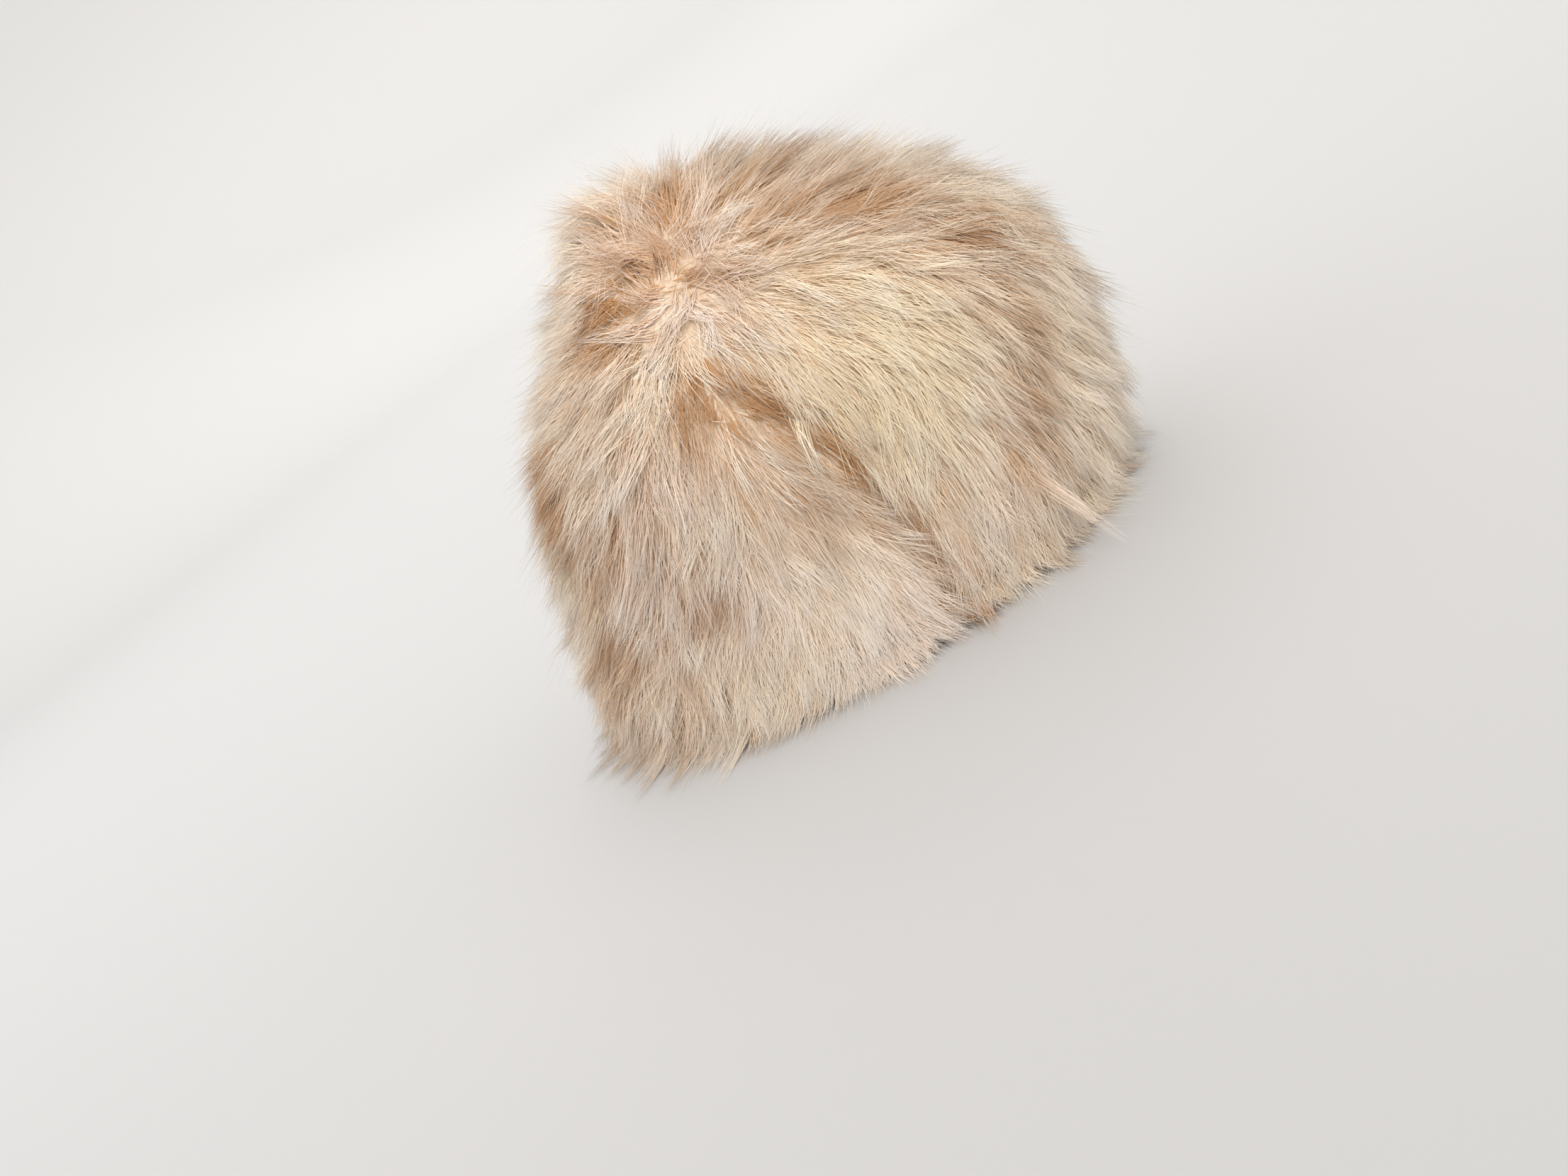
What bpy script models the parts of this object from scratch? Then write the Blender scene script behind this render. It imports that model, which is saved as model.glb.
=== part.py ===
"""A fur cloche hat that stands on its rim, +Z up and +X to the wearer's front.

Three pelt panels are sewn into a bell that is hollow and open below: a crown with a
strip down each side, a front brim and a back panel. Each is a thin wall of skin. Deep
fur stands on each panel: a backing that follows the panel, whose outer face is drawn
out into locks that lie the way the hair grows. z = 0 is the lower edge of the fur.
"""

import math
import random
from collections import namedtuple

import bmesh
import bpy
from mathutils import Matrix, Vector

# Sizes over the fur, in metres. The reaches run from the crown's axis.
FUR_HEIGHT = 0.233
FUR_WIDTH = 0.222
FRONT_REACH = 0.176
BACK_REACH = 0.150

# The pelt and its pile
SKIN_THICKNESS = 0.003
PILE_DEPTH = 0.028
FUR_BELOW_SKIN = 0.010
PIECE_GAP = 0.0003
SEAM_GAP = 0.0008

# The valleys that the fur falls into at the two seams
CREASE_DEPTH = 0.0125
CREASE_WIDTH = 0.018
FRONT_SEAM_DEPTH = 0.0045
FRONT_SEAM_WIDTH = 0.012

# The locks: how much of the pile stands free of the backing, how far a tip leans
# over the next lock, less beside a seam, and how much their heights vary
FREE_PILE = 0.38
LOCK_LEAN = 0.75
LOCK_LEAN_AT_SEAM = 0.4
LOCK_VARIATION = 0.22
RIM_TIP_HEIGHT = 0.0012

# The whorls that the hair of the crown grows away from, one on each side, and the
# heights between which it turns to hang towards the rim
WHORL_FORWARD = 0.019
WHORL_SIDE = 0.070
WHORL_HEIGHT = 0.202
HANG_START = 0.185
HANG_FULL = 0.060
HANG_PULL = 3.0

# The bell from its rim to its apex. Heights are shares of FUR_HEIGHT, front and back of
# the two reaches, side of half of FUR_WIDTH, and pile of PILE_DEPTH.
Section = namedtuple("Section", "up height front back side pile")
SECTIONS = (
    Section(0.0, 0.0, 0.77, 0.91, 0.80, 0.42),
    Section(0.1, 0.116, 0.92, 0.985, 0.90, 0.75),
    Section(0.2, 0.249, 0.98, 0.92, 0.955, 1.0),
    Section(0.3, 0.386, 1.0, 0.835, 0.985, 1.0),
    Section(0.4, 0.519, 0.985, 0.755, 1.0, 1.0),
    Section(0.5, 0.648, 0.90, 0.635, 0.96, 1.0),
    Section(0.6, 0.760, 0.755, 0.48, 0.86, 1.0),
    Section(0.7, 0.854, 0.565, 0.35, 0.69, 1.0),
    Section(0.8, 0.927, 0.375, 0.245, 0.50, 1.0),
    Section(0.9, 0.980, 0.18, 0.12, 0.26, 1.0),
    Section(1.0, 1.0, 0.0, 0.0, 0.0, 1.0),
)

# The two seams that run up each side, as angles in degrees from the front
Seam = namedtuple("Seam", "up front back")
SEAMS = (
    Seam(0.0, 46.0, 73.0),
    Seam(0.15, 43.0, 70.0),
    Seam(0.25, 39.0, 71.0),
    Seam(0.35, 32.0, 73.0),
    Seam(0.45, 29.0, 80.0),
    Seam(0.55, 25.0, 84.0),
    Seam(0.62, 22.0, 86.0),
    Seam(1.0, 22.0, 86.0),
)

# How far up the front brim and the back panel reach, by angle from the front
PanelTop = namedtuple("PanelTop", "angle up")
PANEL_TOPS = (
    PanelTop(0.0, 0.63),
    PanelTop(22.0, 0.60),
    PanelTop(65.0, 0.57),
    PanelTop(86.0, 0.59),
    PanelTop(100.0, 0.66),
    PanelTop(124.0, 0.71),
    PanelTop(150.0, 0.735),
    PanelTop(180.0, 0.74),
)

# The cells of the bell. Columns are counted from the front centre to the back centre.
FRONT_COLUMNS = 5
SIDE_COLUMNS = 7
BACK_COLUMNS = 18
COLUMNS = 2 * (FRONT_COLUMNS + SIDE_COLUMNS + BACK_COLUMNS)
HEM_ROW = 1
PANEL_ROWS = 8
TOP_ROW = HEM_ROW + PANEL_ROWS
# Above the panels, how many columns each ring of the crown skips
RING_STEPS = (2, 2, 2, 4, 4)
APEX_ROW = TOP_ROW + len(RING_STEPS) + 1

SEED = 7
SLOPE_STEP = 1e-3
SKIN_BEIGE = (0.62, 0.52, 0.40, 1.0)
FUR_CREAM = (0.80, 0.66, 0.48, 1.0)

Cell = namedtuple("Cell", "panel row keys")


def smooth_share(value, start, end):
    """0 at start and 1 at end, eased at both."""
    share = min(max((value - start) / (end - start), 0.0), 1.0)
    return share * share * (3.0 - 2.0 * share)


def read(table, column, at):
    """A column's value on the smooth curve through the rows of a table."""
    places = [row[0] for row in table]
    values = [getattr(row, column) for row in table]
    at = min(max(at, places[0]), places[-1])
    last = len(places) - 1
    low = max(i for i in range(last) if places[i] <= at)

    def slope(i):
        before, after = max(i - 1, 0), min(i + 1, last)
        return (values[after] - values[before]) / (places[after] - places[before])

    span = places[low + 1] - places[low]
    t = (at - places[low]) / span
    bend_in = (t * t * t - 2 * t * t + t) * span * slope(low)
    bend_out = (t * t * t - t * t) * span * slope(low + 1)
    ease = t * t * (3 - 2 * t)
    return values[low] * (1 - ease) + values[low + 1] * ease + bend_in + bend_out


def envelope(angle, up):
    """A point on the outer form of the fur, with the crown's axis at x = 0."""
    reach = FRONT_REACH * read(SECTIONS, "front", up)
    if math.cos(angle) < 0.0:
        reach = BACK_REACH * read(SECTIONS, "back", up)
    side = FUR_WIDTH / 2 * read(SECTIONS, "side", up)
    height = FUR_HEIGHT * read(SECTIONS, "height", up)
    return Vector((reach * math.cos(angle), side * math.sin(angle), height))


def outward(angle, up):
    """The direction out of the bell, turned level at the rim so that it ends flat."""
    if up > 1.0 - SLOPE_STEP:
        return Vector((0.0, 0.0, 1.0))
    around = envelope(angle + SLOPE_STEP, up) - envelope(angle - SLOPE_STEP, up)
    along = envelope(angle, up + SLOPE_STEP) - envelope(angle, max(up - SLOPE_STEP, 0.0))
    normal = around.cross(along).normalized()
    normal.z *= smooth_share(up, 0.0, SECTIONS[1].up)
    return normal.normalized()


def height_to_up(height):
    """How far up the bell the outer form reaches this height."""
    low, high = 0.0, 1.0
    for _ in range(40):
        middle = (low + high) / 2
        if FUR_HEIGHT * read(SECTIONS, "height", middle) < height:
            low = middle
        else:
            high = middle
    return (low + high) / 2


def column_angle(column, up):
    """The angle of a column of cells, bent so that two of them follow the seams."""
    half = COLUMNS // 2
    count = column if column <= half else COLUMNS - column
    front = math.radians(read(SEAMS, "front", up))
    back = math.radians(read(SEAMS, "back", up))
    if count <= FRONT_COLUMNS:
        angle = front * count / FRONT_COLUMNS
    elif count <= FRONT_COLUMNS + SIDE_COLUMNS:
        angle = front + (back - front) * (count - FRONT_COLUMNS) / SIDE_COLUMNS
    else:
        angle = back + (math.pi - back) * (count - FRONT_COLUMNS - SIDE_COLUMNS) / BACK_COLUMNS
    return angle if column <= half else -angle


def panel_top(angle):
    return read(PANEL_TOPS, "up", abs(math.degrees(angle)))


def place(key):
    """The angle and the height share of a corner, from its column and row."""
    column, row = key
    hem = height_to_up(FUR_BELOW_SKIN)
    if row == 0:
        up = 0.0
    elif row == APEX_ROW:
        up = 1.0
    else:
        corner_angle = column_angle(column, SEAMS[-2].up)
        top = panel_top(corner_angle)
        if row <= TOP_ROW:
            up = hem + (top - hem) * (row - HEM_ROW) / PANEL_ROWS
        else:
            up = top + (1.0 - top) * (row - TOP_ROW) / (APEX_ROW - TOP_ROW)
    return column_angle(column, up), up


def distance_into(angle, up, seam_angle, top):
    """How far inside a seamed panel a place is, in metres, negative outside it."""
    girth = envelope(seam_angle, up).xy.length
    meridian = FUR_HEIGHT + (FRONT_REACH + BACK_REACH) / 4
    past_seam = (angle - seam_angle) * girth
    below_top = (top - up) * meridian
    if past_seam > 0.0 and below_top > 0.0:
        return min(past_seam, below_top)
    return -math.hypot(min(past_seam, 0.0), min(below_top, 0.0))


def pile(angle, up):
    """The depth of the fur here, less where it falls into the valley of a seam."""
    angle = abs(math.remainder(angle, 2 * math.pi))
    top = panel_top(angle)
    back = math.radians(read(SEAMS, "back", up))
    front = math.radians(read(SEAMS, "front", up))
    into_back = distance_into(angle, up, back, top)
    into_front = distance_into(-angle, up, -front, top)
    crease = CREASE_DEPTH * math.exp(-((into_back / CREASE_WIDTH) ** 2))
    front_seam = FRONT_SEAM_DEPTH * math.exp(-((into_front / FRONT_SEAM_WIDTH) ** 2))
    share = read(SECTIONS, "pile", up)
    return share * (PILE_DEPTH - crease - front_seam)


def skin_depth(up):
    """How far the skin lies inside the outer form of the fur."""
    return PILE_DEPTH * read(SECTIONS, "pile", up)


def lie(point, normal):
    """The way the hair lies: away from the whorls, then hanging towards the rim."""
    flow = Vector((0.0, 0.0, 0.0))
    for side in (-WHORL_SIDE, WHORL_SIDE):
        whorl = Vector((WHORL_FORWARD, side, WHORL_HEIGHT))
        away = point - whorl
        flow += away / max(away.length_squared, WHORL_SIDE**2 / 16)
    flow.normalize()
    flow.z -= HANG_PULL * smooth_share(-point.z, -HANG_START, -HANG_FULL)
    flow -= normal * flow.dot(normal)
    return flow.normalized()


def owner(column, row):
    """The panel that a cell belongs to, from its lower corner."""
    count = min(column, COLUMNS - 1 - column)
    if row >= TOP_ROW or FRONT_COLUMNS <= count < FRONT_COLUMNS + SIDE_COLUMNS:
        return "crown"
    return "front_brim" if count < FRONT_COLUMNS else "back_panel"


def cells():
    """The cells of the whole bell, corners anticlockwise from outside."""
    steps = [1] * (TOP_ROW + 1) + list(RING_STEPS)
    found = []
    for row in range(APEX_ROW):
        last = row == APEX_ROW - 1
        step = steps[row] if last else steps[row + 1]
        for column in range(0, COLUMNS, step):
            after = column + step
            lower = [(c % COLUMNS, row) for c in range(column, after + 1, steps[row])]
            upper = [(0, APEX_ROW)] if last else [(after % COLUMNS, row + 1), (column, row + 1)]
            keys = lower[1:] + upper + lower[:1]
            found.append(Cell(owner(column, row), row, keys))
    return found


def open_edges(chosen):
    """The corner pairs along the border of some cells, each with the cells on its left."""
    pairs = set()
    for cell in chosen:
        pairs.update(zip(cell.keys, cell.keys[1:] + cell.keys[:1]))
    return sorted(pair for pair in pairs if pair[::-1] not in pairs)


def layer(chosen, depth_at):
    """Corner positions at a depth below the outer form, drawn in along the seams."""
    points, normals = {}, {}
    for cell in chosen:
        for key in cell.keys:
            if key not in points:
                angle, up = place(key)
                normals[key] = outward(angle, up)
                points[key] = envelope(angle, up) - normals[key] * depth_at(angle, up)
    inward = {}
    for start, end in open_edges(chosen):
        if max(start[1], end[1]) > HEM_ROW or start[1] != end[1]:
            side = normals[start] + normals[end]
            left = side.cross(points[end] - points[start]).normalized()
            inward.setdefault(start, []).append(left)
            inward.setdefault(end, []).append(left)
    drawn = {}
    for key, point in points.items():
        moves = inward.get(key, [])
        if moves:
            total = sum(moves, Vector())
            square = 1.0 + moves[0].dot(moves[-1]) if len(moves) > 1 else 1.0
            point = point + total * SEAM_GAP / 2 / square
        if key[1] == 0:
            point.z = 0.0
        drawn[key] = point
    return drawn


def fan(indices):
    """The triangles of a cell, always split from its first corner."""
    return [(indices[0], indices[i], indices[i + 1]) for i in range(1, len(indices) - 1)]


def shell(chosen, outer, inner):
    """A closed body between two layers. Returns it and its outer faces, still whole."""
    body = bmesh.new()
    outside = {key: body.verts.new(point) for key, point in outer.items()}
    inside = {key: body.verts.new(point) for key, point in inner.items()}
    faces = []
    for cell in chosen:
        faces.append((body.faces.new([outside[key] for key in cell.keys]), cell))
        for triangle in fan([inside[key] for key in cell.keys]):
            body.faces.new(triangle[::-1])
    for start, end in open_edges(chosen):
        ring = (outside[end], outside[start], inside[start], inside[end])
        if start > end:
            ring = ring[1:] + ring[:1]
        for triangle in fan(ring):
            body.faces.new(triangle)
    return body, faces


def draw_out_locks(body, faces, dice):
    """Pokes each outer face and draws its middle out into the tip of a lock."""
    seamed = [pair for pair in open_edges([cell for _, cell in faces]) if pair[0][1] or pair[1][1]]
    for face, cell in faces:
        sides = zip(cell.keys, cell.keys[1:] + cell.keys[:1])
        lean = LOCK_LEAN_AT_SEAM if any(pair in seamed for pair in sides) else LOCK_LEAN
        corners = [place(key) for key in cell.keys]
        up = sum(corner[1] for corner in corners) / len(corners)
        middle = face.calc_center_median()
        angle = math.atan2(
            sum(math.sin(corner[0]) for corner in corners),
            sum(math.cos(corner[0]) for corner in corners),
        )
        normal = outward(angle, up)
        way = lie(middle, normal)
        extent = max((vert.co - middle).dot(way) for vert in face.verts)
        height = pile(angle, up) * FREE_PILE * (1 + dice.uniform(-1, 1) * LOCK_VARIATION)
        tip = middle + normal * height + way * extent * lean
        tip.z = max(tip.z, RIM_TIP_HEIGHT)
        bmesh.ops.poke(body, faces=[face])["verts"][0].co = tip


def finish_mesh(name, body, colour, roughness, smooth):
    """Makes the named object of a body, with its own material."""
    bmesh.ops.triangulate(body, faces=[face for face in body.faces if len(face.verts) > 3])
    mesh = bpy.data.meshes.new(name)
    body.to_mesh(mesh)
    body.free()
    if smooth:
        mesh.shade_smooth()
        mesh.set_sharp_from_angle(angle=math.radians(40))
    material = bpy.data.materials.new(name)
    material.use_nodes = True
    surface = material.node_tree.nodes["Principled BSDF"]
    surface.inputs["Base Color"].default_value = colour
    surface.inputs["Roughness"].default_value = roughness
    surface.inputs["Metallic"].default_value = 0.0
    mesh.materials.append(material)
    part = bpy.data.objects.new(name, mesh)
    bpy.context.scene.collection.objects.link(part)
    return part


def make_wall(panel, grid):
    """One pelt panel: a wall of skin that ends above the lower edge of the fur."""
    chosen = [cell for cell in grid if cell.panel == panel and cell.row >= HEM_ROW]
    outer = layer(chosen, lambda angle, up: skin_depth(up))
    inner = layer(chosen, lambda angle, up: skin_depth(up) + SKIN_THICKNESS)
    body, faces = shell(chosen, outer, inner)
    for face, _ in faces:
        corners = list(face.verts)
        body.faces.remove(face)
        for triangle in fan(corners):
            body.faces.new(triangle)
    return finish_mesh(panel, body, SKIN_BEIGE, 0.85, True)


def make_fur(panel, grid, dice):
    """The fur of one panel: a backing close to the skin, with locks drawn out of it."""
    chosen = [cell for cell in grid if cell.panel == panel]

    def top_of_backing(angle, up):
        return skin_depth(up) - pile(angle, up) * (1 - FREE_PILE)

    outer = layer(chosen, top_of_backing)
    inner = layer(chosen, lambda angle, up: skin_depth(up) - PIECE_GAP)
    body, faces = shell(chosen, outer, inner)
    draw_out_locks(body, faces, dice)
    return finish_mesh(panel + "_fur", body, FUR_CREAM, 0.9, False)


def centre_on_floor(parts):
    """Moves every mesh so that the hat's box is centred on the origin and stands on it."""
    points = [vert.co for part in parts for vert in part.data.vertices]
    middle_x = (min(p.x for p in points) + max(p.x for p in points)) / 2
    middle_y = (min(p.y for p in points) + max(p.y for p in points)) / 2
    lowest = min(p.z for p in points)
    for part in parts:
        part.data.transform(Matrix.Translation((-middle_x, -middle_y, -lowest)))


def main():
    for old in list(bpy.data.objects):
        bpy.data.objects.remove(old)
    grid = cells()
    dice = random.Random(SEED)
    parts = []
    for panel in ("crown", "front_brim", "back_panel"):
        parts.append(make_wall(panel, grid))
        parts.append(make_fur(panel, grid, dice))
    centre_on_floor(parts)


main()
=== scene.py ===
# A fur cloche hat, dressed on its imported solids, in metres, with +X to the wearer's front.

import math
from collections import namedtuple

import bmesh
import bpy
import numpy as np
from mathutils import Matrix, Vector, noise
from mathutils.bvhtree import BVHTree
from mathutils.kdtree import KDTree


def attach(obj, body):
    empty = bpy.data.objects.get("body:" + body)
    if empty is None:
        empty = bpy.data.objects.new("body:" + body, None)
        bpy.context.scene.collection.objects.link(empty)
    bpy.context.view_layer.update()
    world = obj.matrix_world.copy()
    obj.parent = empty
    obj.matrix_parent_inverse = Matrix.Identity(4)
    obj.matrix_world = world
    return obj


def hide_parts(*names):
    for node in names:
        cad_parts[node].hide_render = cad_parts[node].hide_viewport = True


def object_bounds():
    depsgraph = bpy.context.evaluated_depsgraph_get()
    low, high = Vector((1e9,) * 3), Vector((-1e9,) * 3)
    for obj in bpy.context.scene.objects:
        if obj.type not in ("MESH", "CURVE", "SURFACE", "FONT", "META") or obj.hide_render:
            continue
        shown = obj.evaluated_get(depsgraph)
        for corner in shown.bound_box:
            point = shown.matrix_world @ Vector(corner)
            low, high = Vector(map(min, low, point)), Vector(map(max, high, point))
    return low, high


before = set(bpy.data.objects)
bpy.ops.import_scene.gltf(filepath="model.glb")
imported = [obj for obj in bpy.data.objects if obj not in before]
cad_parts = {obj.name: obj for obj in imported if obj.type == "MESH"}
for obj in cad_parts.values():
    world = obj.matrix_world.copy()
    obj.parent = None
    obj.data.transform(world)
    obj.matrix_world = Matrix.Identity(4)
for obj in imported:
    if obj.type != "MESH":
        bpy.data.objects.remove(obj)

cad_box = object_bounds()

# The photographer's view. The hat is seen from its right side, tipped back as it is worn.
# Here it stands level on its rim, so the camera is tipped instead, about the middle of
# the hat's side.
WORN_TILT = math.radians(32.0)
VIEW_PITCH = math.radians(26.1)
VIEW_DISTANCE = 0.602
VIEW_HEIGHT = 0.488
WORN_PIVOT = Vector((0.010, 0.0, 0.285))
STANDING_PIVOT = Vector((0.013, 0.0, 0.097))
SENSOR_WIDTH = 36.0
FOCAL_LENGTH = 30.92

lens = bpy.data.cameras.new("side_view")
lens.sensor_fit = "HORIZONTAL"
lens.sensor_width = SENSOR_WIDTH
lens.lens = FOCAL_LENGTH
camera = bpy.data.objects.new("side_view", lens)
bpy.context.scene.collection.objects.link(camera)
as_worn = Matrix.Translation((0.0, -VIEW_DISTANCE, VIEW_HEIGHT))
as_worn @= Matrix.Rotation(math.pi / 2 - VIEW_PITCH, 4, "X")
stood_up = Matrix.Translation(STANDING_PIVOT) @ Matrix.Rotation(WORN_TILT, 4, "Y")
camera.matrix_world = stood_up @ Matrix.Translation(-WORN_PIVOT) @ as_worn
bpy.context.scene.camera = camera

# The table and the light. A pale seamless sheet sweeps up all round the hat. A soft
# flash lights it from the camera's side, and four wide lamps fill in the other sides.
SWEEP_RADIUS = 2.6
SWEEP_BEND = 0.9
SWEEP_HEIGHT = 1.2
SWEEP_STEPS = 12
SWEEP_SIDES = 64
SWEEP_GREY = (0.58, 0.575, 0.57, 1.0)

sweep = bmesh.new()
profile = [sweep.verts.new((0.0, 0.0, 0.0)), sweep.verts.new((SWEEP_RADIUS - SWEEP_BEND, 0.0, 0.0))]
for step in range(1, SWEEP_STEPS + 1):
    turn = math.pi / 2 * step / SWEEP_STEPS
    out = SWEEP_RADIUS - SWEEP_BEND + SWEEP_BEND * math.sin(turn)
    profile.append(sweep.verts.new((out, 0.0, SWEEP_BEND * (1 - math.cos(turn)))))
profile.append(sweep.verts.new((SWEEP_RADIUS, 0.0, SWEEP_HEIGHT)))
edges = [sweep.edges.new(pair) for pair in zip(profile, profile[1:])]
bmesh.ops.spin(
    sweep, geom=profile + edges, axis=(0, 0, 1), angle=2 * math.pi, steps=SWEEP_SIDES, use_merge=True
)
bmesh.ops.remove_doubles(sweep, verts=sweep.verts, dist=1e-5)
bmesh.ops.recalc_face_normals(sweep, faces=sweep.faces)
sheet_mesh = bpy.data.meshes.new("table_sheet")
sweep.to_mesh(sheet_mesh)
sweep.free()
sheet_mesh.shade_smooth()
table_sheet = bpy.data.objects.new("table_sheet", sheet_mesh)
bpy.context.scene.collection.objects.link(table_sheet)
sheet_paper = bpy.data.materials.new("pale_paper")
sheet_paper.use_nodes = True
sheet_paper.node_tree.nodes["Principled BSDF"].inputs["Base Color"].default_value = SWEEP_GREY
sheet_paper.node_tree.nodes["Principled BSDF"].inputs["Roughness"].default_value = 0.9
sheet_mesh.materials.append(sheet_paper)

# The flash is far enough away to light hat and sheet evenly, so it is a sun with soft edges
FLASH_FROM = Vector((0.25, -1.0, 0.68))
FLASH_STRENGTH = 2.55
FLASH_SOFTNESS = math.radians(20.0)
flash_data = bpy.data.lights.new("flash", "SUN")
flash_data.energy = FLASH_STRENGTH
flash_data.angle = FLASH_SOFTNESS
flash_data.color = (1.0, 0.99, 0.98)
flash = bpy.data.objects.new("flash", flash_data)
flash.rotation_euler = (-FLASH_FROM).to_track_quat("-Z", "Y").to_euler()
bpy.context.scene.collection.objects.link(flash)

# Each lamp: its place, its width, its power in watts and its colour
LAMPS = {
    "front_lamp": ((1.3, -0.20, 1.0), 1.4, 5.0, (1.0, 0.98, 0.96)),
    "top_lamp": ((0.0, 0.35, 1.6), 1.6, 4.0, (1.0, 0.99, 0.98)),
    "back_lamp": ((-1.3, 0.1, 1.0), 1.4, 4.0, (0.98, 0.98, 1.0)),
    "left_lamp": ((-0.2, 1.6, 1.2), 1.6, 8.0, (1.0, 0.99, 0.98)),
}
LIT_PLACE = Vector((0.0, 0.0, 0.11))
ROOM_COLOUR = (0.97, 0.95, 0.93, 1.0)
ROOM_STRENGTH = 0.57

for name, (place, width, power, colour) in LAMPS.items():
    lamp_data = bpy.data.lights.new(name, "AREA")
    lamp_data.size = width
    lamp_data.energy = power
    lamp_data.color = colour
    lamp = bpy.data.objects.new(name, lamp_data)
    lamp.location = place
    lamp.rotation_euler = (LIT_PLACE - Vector(place)).to_track_quat("-Z", "Y").to_euler()
    bpy.context.scene.collection.objects.link(lamp)
room = bpy.data.worlds.new("pale_room")
room.use_nodes = True
room.node_tree.nodes["Background"].inputs["Color"].default_value = ROOM_COLOUR
room.node_tree.nodes["Background"].inputs["Strength"].default_value = ROOM_STRENGTH
bpy.context.scene.world = room
bpy.context.scene.view_settings.view_transform = "Standard"

# The pelts. Three panels of tanned skin, 3 mm thick, make the bell. Their flesh side
# shows only from below: a matt beige suede with a fine nap and faint darker clouds.
PELTS = ("crown", "front_brim", "back_panel")
SUEDE_PALE = (0.60, 0.49, 0.36, 1.0)
SUEDE_DARK = (0.47, 0.36, 0.25, 1.0)
HEART = Vector((-0.013, 0.0, 0.085))
FACING = 0.35
JOIN_ANGLE = math.radians(35)
CUT_EDGE_ANGLE = math.radians(50)
SKIN_LEVELS = 2
SLACK_FROM = 0.010
SLACK_FINENESS = 26.0
SLACK_FINER = 2.3
SLACK_DEPTH = 0.0009

suede = bpy.data.materials.new("pelt_suede")
suede.use_nodes = True
nodes, links = suede.node_tree.nodes, suede.node_tree.links
surface = nodes["Principled BSDF"]
surface.inputs["Roughness"].default_value = 0.92
surface.inputs["Sheen Weight"].default_value = 0.25
place = nodes.new("ShaderNodeTexCoord")
clouds = nodes.new("ShaderNodeTexNoise")
clouds.inputs["Scale"].default_value = 28.0
clouds.inputs["Detail"].default_value = 6.0
tint = nodes.new("ShaderNodeValToRGB")
tint.color_ramp.elements[0].position = 0.35
tint.color_ramp.elements[0].color = SUEDE_DARK
tint.color_ramp.elements[1].position = 0.68
tint.color_ramp.elements[1].color = SUEDE_PALE
nap = nodes.new("ShaderNodeTexNoise")
nap.inputs["Scale"].default_value = 900.0
relief = nodes.new("ShaderNodeBump")
relief.inputs["Strength"].default_value = 0.25
relief.inputs["Distance"].default_value = 0.0006
links.new(place.outputs["Object"], clouds.inputs["Vector"])
links.new(place.outputs["Object"], nap.inputs["Vector"])
links.new(clouds.outputs["Fac"], tint.inputs["Fac"])
links.new(tint.outputs["Color"], surface.inputs["Base Color"])
links.new(nap.outputs["Fac"], relief.inputs["Height"])
links.new(relief.outputs["Normal"], surface.inputs["Normal"])


def pelt_copy(pelt):
    """A CAD pelt's mesh as a bmesh, with its shared corners merged."""
    skin = bmesh.new()
    skin.from_mesh(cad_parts[pelt].data)
    bmesh.ops.remove_doubles(skin, verts=skin.verts, dist=1e-6)
    return skin


def supple_pelt(pelt, finish):
    """One panel of skin, rounded between its cut edges and a little slack."""
    skin = pelt_copy(pelt)
    bmesh.ops.join_triangles(
        skin, faces=skin.faces, angle_face_threshold=JOIN_ANGLE, angle_shape_threshold=JOIN_ANGLE
    )
    sharp = skin.edges.layers.float.new("crease_edge")
    for edge in skin.edges:
        if edge.calc_face_angle(0.0) > CUT_EDGE_ANGLE:
            edge[sharp] = 1.0
    mesh = bpy.data.meshes.new(pelt + "_skin")
    skin.to_mesh(mesh)
    skin.free()
    mesh.shade_smooth()
    mesh.materials.append(finish)
    piece = bpy.data.objects.new(pelt + "_skin", mesh)
    bpy.context.scene.collection.objects.link(piece)
    rounded = piece.modifiers.new("rounded", "SUBSURF")
    rounded.levels = rounded.render_levels = SKIN_LEVELS
    bpy.context.view_layer.update()
    smooth = bpy.data.meshes.new_from_object(piece.evaluated_get(bpy.context.evaluated_depsgraph_get()))
    piece.modifiers.clear()
    piece.data = smooth
    places = [vert.co.copy() for vert in smooth.vertices]
    normals = [vert.normal.copy() for vert in smooth.vertices]
    for vert, place, normal in zip(smooth.vertices, places, normals):
        inward = (HEART - place).normalized()
        if normal.dot(inward) > FACING and place.z > SLACK_FROM:
            slack = noise.noise(place * SLACK_FINENESS)
            slack += 0.5 * noise.noise(place * SLACK_FINENESS * SLACK_FINER)
            place += normal * slack * SLACK_DEPTH * min((place.z - SLACK_FROM) / SLACK_FROM, 1.0)
        vert.co = (place.x, place.y, max(place.z, 0.0))
    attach(piece, "root")
    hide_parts(pelt)


for pelt in PELTS:
    supple_pelt(pelt, suede)

# The underfur. A dense mat of short woolly hair grows on each pelt and hides the skin.
# It fills the lower half of the pile and closes it off above the table.
MAT_SHARE = 0.50
MAT_GAP = 0.0004
SOLID_FUR_SHARE = 0.75
PILE_REACH = 0.06
PILE_NEIGHBOURS = 10
SEAM_REACH = 0.004
RIM_SKIN_HEIGHT = 0.022
RIM_MAT_HEIGHT = 0.003
RIM_MAT_TOP = 0.006
CUT_EDGE_DOWN = -0.75
UNDERSIDE = -0.7
MAT_PALE = (0.80, 0.66, 0.51, 1.0)
MAT_DARK = (0.62, 0.46, 0.32, 1.0)


def near_tree(places):
    """A tree that finds the nearest of some places."""
    tree = KDTree(len(places))
    for index, place in enumerate(places):
        tree.insert(place, index)
    tree.balance()
    return tree


def faces_down(shape, below):
    """The faces of a shape that look down and lie below some height."""
    down = [face for face in shape.faces if face.normal.z < UNDERSIDE]
    return [face for face in down if face.calc_center_median().z < below]


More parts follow.
